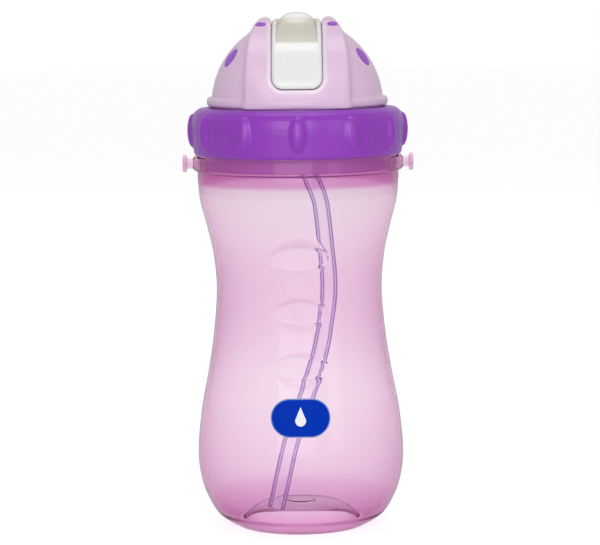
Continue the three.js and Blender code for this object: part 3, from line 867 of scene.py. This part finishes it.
def make_collar():
    purple = moulded_plastic("purple_gloss", (0.28, 0.03, 0.5), (0.3, 0.035, 0.53), (0.27, 0.33), 0.000008,
                             coat=0.1)
    low, high = COLLAR.bottom - 1, COLLAR.top + 1
    surface = round_surface(collar_field(), COLLAR.radius + 2.4, low, high, GRID.collar)
    as_object("collar_ring", *surface, purple, "screw_collar", "collar", "collar")


def make_seal(rubber):
    outline = rounded([
        (SEAL.inner, SEAL.bottom), (SEAL.outer, SEAL.bottom),
        (SEAL.outer, SEAL.top), (SEAL.inner, SEAL.top),
    ], 0.3)
    as_object("seal_silicone", *closed_ring(outline, 128), rubber, "lid_head", "seal_ring", "silicone")


# ---------------- plate and valve


def plate_field():
    under, top = PLATE.underside, PLATE.top
    disc = turned_field(rounded([
        (-1, under), (PLUG.inner, under), (PLUG.inner, PLATE.bottom),
        (PLUG.outer, PLATE.bottom), (PLUG.outer, under), (PLATE.radius, under),
        (PLATE.radius, top), (-1, top),
    ], 0.35))
    half, front, back, floor, wall = WELL.half, WELL.front, WELL.back, WELL.floor, WELL.wall
    spigot_y = STRAW_ROUTE[0][1]

    def field(x, y, z):
        low, high = (-half - wall, front - wall, floor - wall), (half + wall, back + wall, top)
        well = box_field(x, y, z, low, high, 0.5)
        spigot = rod_field(x, y, z, (0, spigot_y, under - 6), 1.8, top)
        solid = smooth_min(smooth_min(disc(x, y, z), well, 0.5), spigot, 0.5)
        solid = np.maximum(solid, z - top)
        hollow = box_field(x, y, z, (-half, front, floor), (half, back, top + 6), 0.8)
        bore = np.hypot(x, y - spigot_y) - 1
        valve = np.hypot(x - VALVE.x, y - VALVE.y) - VALVE.hole
        return np.maximum(smooth_max(solid, -hollow, 0.4), -np.minimum(bore, valve))

    return field


def make_plate():
    purple = moulded_plastic("violet_satin", (0.5, 0.2, 0.58), (0.53, 0.22, 0.61), (0.28, 0.36), 0.00001)
    low, high = PLATE.bottom - 1, PLATE.top + 1
    surface = round_surface(plate_field(), PLATE.radius + 1, low, high, GRID.plate)
    as_object("plate_with_plug", *surface, purple, "lid_head", "lid_plate", "lid_plate")


def make_valve(rubber):
    stem, above, below = VALVE.hole - 0.3, PLATE.top + 0.3, PLATE.underside - 0.3
    outline = rounded([
        (0, below - 2.2), (0.8, below - 2.2), (2.1, below - 0.6), (2.1, below), (stem, below), (stem, above),
        (2.6, above), (2.6, above + 1.1), (0, above + 1.1),
    ], 0.3, False)
    points, faces = turned(outline, 40)
    as_object("valve_silicone", points + (VALVE.x, VALVE.y, 0), faces, rubber, "lid_head",
              "vent_valve", "silicone")


# ---------------- dome and its dots

BAND_CURVE = smooth_outline(BAND_HALF, 8)
CHEEK_DOT = 3.55
RAIL_DOT = Sizes(radius=1.85, x=12.8)
DOT_DEPTH = 0.6


def band_half(up):
    return np.interp(up, [p[0] for p in BAND_CURVE], [p[1] for p in BAND_CURVE])


def block_field(x, y, z):
    """The dome with its flange and its raised band, as one full block."""
    radius, _ = arc_place(y, z)
    reach = np.hypot(x, y)
    up = z - LID_Z
    ball = np.sqrt(x * x + y * y + (z - DOME.centre) ** 2) - DOME.radius
    corner, half = 1.4, FLANGE.thick / 2
    q, w = reach - (FLANGE.radius - corner), np.abs(up - half) - (half - corner)
    flange = corner_field(q, w, corner)
    band = smooth_max(radius - BAND.radius, reach - BAND.plan_radius, 4.0)
    band = smooth_max(band, np.abs(x) - band_half(up), 1.3)
    return np.maximum(smooth_min(smooth_min(ball, flange, 0.5), band, 1.2), LID_Z - z)


def dot_plug(x, y, z, dot, grow, inside, outside):
    """A round plug across the dome's surface at a dot."""
    centre, normal, radius = dot
    dx, dy, dz = x - centre[0], y - centre[1], z - centre[2]
    along = dx * normal[0] + dy * normal[1] + dz * normal[2]
    across = np.sqrt(np.maximum(dx * dx + dy * dy + dz * dz - along * along, 0)) - radius - grow
    return np.maximum(across, np.maximum(-along - inside, along - outside))


def cheek_dot(x, y):
    up = math.sqrt(DOME.radius ** 2 - x * x - y * y)
    normal = np.array([x, y, up]) / DOME.radius
    return np.array([x, y, DOME.centre + up]), normal, CHEEK_DOT


def rail_dot(side, degrees):
    angle = math.radians(degrees)
    normal = np.array([0, -math.cos(angle), math.sin(angle)])
    return normal * BAND.radius + np.array([side * RAIL_DOT.x, 0, LID_Z]), normal, RAIL_DOT.radius


DOTS = {
    "cheek_dot_front_left": cheek_dot(-23.7, -9.5),
    "cheek_dot_front_right": cheek_dot(23.7, -9.5),
    "cheek_dot_rear_left": cheek_dot(-22.6, 4.5),
    "cheek_dot_rear_right": cheek_dot(22.6, 4.5),
    "rail_dot_front_left": rail_dot(-1, 68),
    "rail_dot_front_right": rail_dot(1, 68),
    "rail_dot_rear_left": rail_dot(-1, 112),
    "rail_dot_rear_right": rail_dot(1, 93),
}


def dome_field(x, y, z):
    radius, _ = arc_place(y, z)
    reach, up = np.hypot(x, y), z - LID_Z
    inner_ball = np.sqrt(x * x + y * y + (z - DOME.centre) ** 2) - (DOME.radius - DOME.wall)
    bore = np.maximum(reach - DOME.bore, up - DOME.bore_top)
    inner_band = np.maximum(radius - BAND.inner, np.abs(x) - band_half(up) + BAND.wall)
    inner_band = np.maximum(inner_band, reach - BAND.plan_radius + BAND.plan_wall)
    hollow = np.minimum(np.maximum(np.minimum(inner_ball, inner_band), HOLLOW_FROM - up), bore)
    spigot = np.maximum(reach - DOME.spigot, np.maximum(PLATE.top + 0.3 - z, up - 1))
    shell = np.maximum(np.minimum(block_field(x, y, z), spigot), -hollow)
    rails = np.maximum(sector_field(x, y, z, *RAIL), reach - BAND.plan_radius + RAIL_PLAN_WALL)
    rails = np.maximum(rails, -sector_field(x, y, z, *SPOUT_PATH))
    solid = np.maximum(np.minimum(shell, rails), -sector_field(x, y, z, *GROOVE))
    front = np.maximum(u_field(x, z, SLOT.half, SLOT.front, SLOT.corner), y + 1)
    rear = np.maximum(u_field(x, z, SLOT.half, SLOT.back, SLOT.rear_corner), -y - 1.5)
    slot = np.minimum(front, rear)
    flare = SLOT.lip * np.clip(radius - BAND.radius + 1.0, -1, 1.3)
    solid = smooth_max(smooth_max(solid, -slot, 0.5), flare - slot, 0.5)
    for arc in (REAR_FLOOR, REAR_STOP):
        solid = np.minimum(solid, sector_field(x, y, z, *arc))
    for dot in DOTS.values():
        solid = smooth_max(solid, -dot_plug(x, y, z, dot, 0.1, DOT_DEPTH + 0.4, 3), 0.25)
    return solid


LIP_HIGHLIGHT_REACH = (0.9, 1.7)  # how far from the slot's edge the painted highlight on the lip ends
LIP_HIGHLIGHT_FRONT = (-12, -4)  # in y, where the lip's painted highlight fades out


def painted_highlight_lip(material):
    """Paints a highlight on the thin lip round the front of the slot, as a paler tone than the rest of the
    dome.
    """
    def factor(tree):
        def calc(*values):
            return calculated(tree, *values)

        x, y, z = object_place(tree)[:3]
        beside = calc("SUBTRACT", calc("ABSOLUTE", x), (SLOT.half - SLOT.corner) * MM)
        below = calc("SUBTRACT", (SLOT.front + SLOT.corner) * MM, z)
        reach = distance(tree, calc("MAXIMUM", beside, 0.0), calc("MAXIMUM", below, 0.0))
        out = calc("SUBTRACT", reach, SLOT.corner * MM)
        near = ranged(tree, out, 1, 0, LIP_HIGHLIGHT_REACH[0] * MM, LIP_HIGHLIGHT_REACH[1] * MM, smooth=True)
        front = ranged(tree, y, 1, 0, LIP_HIGHLIGHT_FRONT[0] * MM, LIP_HIGHLIGHT_FRONT[1] * MM, smooth=True)
        return calc("MULTIPLY", near, front)

    # this paler colour is a painted highlight on the slot's lip
    repainted(material, factor, (0.93, 0.78, 0.92))


def make_dome():
    pale = moulded_plastic("pale_pink", (0.79, 0.56, 0.76), (0.81, 0.58, 0.78), (0.3, 0.38), 0.00001,
                           coat=0.15, subsurface=0.15)
    painted_highlight_lip(pale)
    high = LID_Z + BAND.radius + 1
    surface = round_surface(dome_field, FLANGE.radius + 1, PLATE.top - 1, high, GRID.dome)
    as_object("dome_shell", *surface, pale, "lid_head", "dome_cover", "dome")

    purple = moulded_plastic("dot_purple", (0.33, 0.07, 0.62), (0.36, 0.08, 0.66), (0.3, 0.37), 0.000006,
                             specular=0.3)
    for name, dot in DOTS.items():
        def field(x, y, z, dot=dot):
            above = block_field(x, y, z)
            inlay = np.maximum(above - 0.03, -DOT_DEPTH - above)
            return smooth_max(inlay, dot_plug(x, y, z, dot, 0, DOT_DEPTH + 1, 3), 0.3)

        low, high = dot[0] - dot[2] - 1.2, dot[0] + dot[2] + 1.2
        surface = field_surface(field, low, high, GRID.dot)
        as_object("inlay_" + name, *surface, purple, "lid_head", name, "dots")


# ---------------- shield with its thumb rest


def bezier(start, middle, end, steps=10):
    start, middle, end = map(np.array, (start, middle, end))
    return [tuple((1 - t) ** 2 * start + 2 * t * (1 - t) * middle + t * t * end)
            for t in np.linspace(0, 1, steps, endpoint=False)]


KNOB_SIDE = [(y, LID_Z + up) for y, up in [
    *bezier((-20.6, KNOB.foot), (-12, 26.6), (-6.4, 30.8)),
    *bezier((-6.4, 30.8), (-5, KNOB.top), (-1.8, KNOB.top)),
    *bezier((-1.8, KNOB.top), (0.6, KNOB.top - 0.3), (2.3, 30.8)),
    (2.3, 30.8), (2.3, 29.4), (-9, 28), (-18.6, 22.6),
]]


def arch_outline():
    """The thumb rest's outline from the front, in (x, z)."""
    half, shoulder = KNOB.half, KNOB.shoulder
    foot = [(half + 0.1, 18), (half + 0.1, 23.5)]
    arch = [(half * math.cos(a), shoulder + (half - 0.3) * math.sin(a)) for a in np.linspace(0, math.pi, 25)]
    return [(x, LID_Z + up) for x, up in foot + arch + [(-x, up) for x, up in foot[::-1]]]


KNOB_ARCH = arch_outline()


def shield_field(x, y, z):
    radius, angle = arc_place(y, z)
    outline = np.where(y < 20, u_field(x, z, SHIELD.half, SHIELD.bottom, SHIELD.corner), 5)
    end = (angle - SHIELD.end) * math.radians(SHIELD.outer)
    plate = smooth_max(smooth_max(radius - SHIELD.outer, outline, 2.3), end, 0.8)
    plate = np.maximum(plate, SHIELD.inner - radius)
    arch = polygon_field(x, z, KNOB_ARCH)
    beyond = np.maximum(RECESS.start - angle, angle - RECESS.end) * ARC_DEGREE
    face = np.maximum(np.maximum(arch, np.maximum(RECESS.inner - radius, beyond)), y)
    dish = DISH.depth * np.clip(1 - (x / DISH.half) ** 2, 0, 1)
    dish = dish * np.clip((DISH.back - y) / DISH.fade[0], 0, 1)
    dish = dish * np.clip((y - DISH.front) / DISH.fade[1], 0, 1)
    knob = smooth_max(polygon_field(y, z, KNOB_SIDE) + dish, arch, 1.8)
    solid = smooth_min(smooth_max(plate, -face, 0.25), knob, 0.35)
    solid = np.maximum(np.minimum(solid, sector_field(x, y, z, *TONGUE)), -sector_field(x, y, z, *TONGUE_GAP))
    return np.minimum(solid, sector_field(x, y, z, *SHIELD_RIB))


PAINTED_SHADE_EDGE = (7.1, 7.5)  # how far to the side the painted shade ends
PAINTED_SHADE_FROM = (23.1, 23.4, 23.5, 26.5)  # heights over the lid of the painted shade's hard start and of its soft one
PAINTED_SHADE_FRONT = (-5, -2)  # in y
CREST = Sizes(up=33.8, narrow=0.6, start=2.2, end=4.6)


def painted_shade_thumb_rest(material):
    """Paints shade, as a grey tone, onto the hollow face of the thumb rest, and leaves its crest unshaded and
    lighter.
    """
    def factor(tree):
        def part(source, low, high, start, end, smooth=False):
            return ranged(tree, source, low, high, start * MM, end * MM, smooth=smooth)

        x, y, z = object_place(tree)[:3]
        start, edge, deeper, full = (LID_Z + up for up in PAINTED_SHADE_FROM)
        result = part(calculated(tree, "ABSOLUTE", x), 1, 0, *PAINTED_SHADE_EDGE, smooth=True)
        above_crest = calculated(tree, "SUBTRACT", z, (LID_Z + CREST.up) * MM)
        to_crest = distance(tree, calculated(tree, "MULTIPLY", x, CREST.narrow), above_crest)
        for share in (
            part(z, 0, 1, start, edge), part(to_crest, 0, 1, CREST.start, CREST.end, smooth=True),
            part(z, 0.75, 1, deeper, full), part(y, 1, 0, *PAINTED_SHADE_FRONT),
        ):
            result = calculated(tree, "MULTIPLY", result, share)
        return result

    # this grey colour is painted shade on the thumb rest's hollow face
    repainted(material, factor, (0.66, 0.63, 0.54))


def make_shield():
    white = moulded_plastic("white_gloss", (0.86, 0.86, 0.84), (0.88, 0.88, 0.865), (0.2, 0.27), 0.000008,
                            coat=0.3, subsurface=0.1)
    painted_shade_thumb_rest(white)
    half = TONGUE.half + 1
    low, high = (-half, -33, LID_Z + 4), (half, 6, LID_Z + KNOB.top + 1)
    surface = field_surface(shield_field, low, high, GRID.shield)
    as_object("shield_with_thumb_rest", *surface, white, "shield", "slider_cover", "shield")


# ---------------- spout and straw


def silicone():
    return moulded_plastic("silicone", (0.84, 0.78, 0.82), (0.88, 0.82, 0.86), (0.42, 0.55), 0.00002,
                           subsurface=0.35)


def spout_base_field(x, y, z):
    lean = math.radians(SPOUT.lean)
    length = (FOLD[2] - PLATE.top) / math.cos(lean)
    dy, dz = y - FOLD[1], z - FOLD[2]
    along = -math.sin(lean) * dy + math.cos(lean) * dz
    across = np.hypot(x, math.cos(lean) * dy + math.sin(lean) * dz)
    tube = smooth_max(across - SPOUT.radius, np.maximum(along, -along - length - 2), 0.3)
    spigot_y, above = STRAW_ROUTE[0][1], PLATE.top + 0.3
    foot = rod_field(x, y, z, (0, spigot_y, above - 1), 5.4, above + 1.4, 0.5)
    solid = np.maximum(smooth_min(tube, foot, 1.2), above - z)
    bore = np.maximum(across - SPOUT.bore, 1.5 - length - along)
    upright = np.maximum(np.hypot(x, y - spigot_y) - SPOUT.bore, z - PLATE.top - 3.5)
    return smooth_max(solid, -np.minimum(bore, upright), 0.3)


def make_spout(rubber):
    low, high = (-7, -8, PLATE.top - 1), (7, 18, FOLD[2] + 4)
    stem = field_surface(spout_base_field, low, high, GRID.spout)
    as_object("spout_stem", *stem, rubber, "lid_head", "spout_base", "silicone")

    radius, length = SPOUT.radius, SPOUT.length
    outline = rounded([
        (SPOUT.bore, 0.3), (radius, 0.3), (radius, length * 0.55), (radius - 0.5, length - 2.5),
        (radius - 0.5, length), (SPOUT.bore, length),
    ], 0.7)
    points, faces = closed_ring(outline, 56)
    fold = Matrix.Rotation(math.radians(SPOUT.folded), 3, "X")
    lean = Matrix.Rotation(math.radians(SPOUT.lean), 3, "X")
    points = (points + (0, radius, 0)) @ np.array(fold).T + (0, -radius, 0)
    points = points @ np.array(lean).T + FOLD
    as_object("spout_mouth", points, faces, rubber, "spout_end", "spout_tip", "silicone")


def make_straw():
    places = catmull_rom(STRAW_ROUTE, 16)
    around = 64
    angles = np.arange(around) * TAU / around
    direction = (places[1] - places[0]).normalized()
    side = direction.orthogonal().normalized()
    rings = []
    for i, place in enumerate(places):
        ahead = (places[min(i + 1, len(places) - 1)] - places[max(i - 1, 0)]).normalized()
        side = (side - ahead * side.dot(ahead)).normalized()
        other = ahead.cross(side)
        circle = np.outer(np.cos(angles), side) + np.outer(np.sin(angles), other)
        rings.append([np.array(place) + circle * radius for radius in (STRAW.outer, STRAW.inner)])
    grid = np.array([outer for outer, _ in rings] + [inner for _, inner in rings[::-1]])
    tint = clear_plastic("clear_violet", (0.3, 0.17, 0.52), lambda tree: edge_depth(tree, 0.2, 0.58),
                         (0.5, 0.2, 0.8), 40, ior=1.07, coat=0.25)
    faces = quads(len(grid), around, True)
    as_object("straw_tube", grid.reshape(-1, 3), faces, tint, "lid_head", "straw", "straw")


# ---------------- assembly


def fix_normals():
    """Turns every made mesh's faces outwards."""
    for obj in MADE:
        work = bmesh.new()
        work.from_mesh(obj.data)
        bmesh.ops.recalc_face_normals(work, faces=work.faces)
        work.to_mesh(obj.data)
        work.free()


soft_rubber = silicone()
make_camera()
make_studio()
make_bottle()
make_badge()
make_collar()
make_seal(soft_rubber)
make_plate()
make_valve(soft_rubber)
make_dome()
make_shield()
make_spout(soft_rubber)
make_straw()
fix_normals()
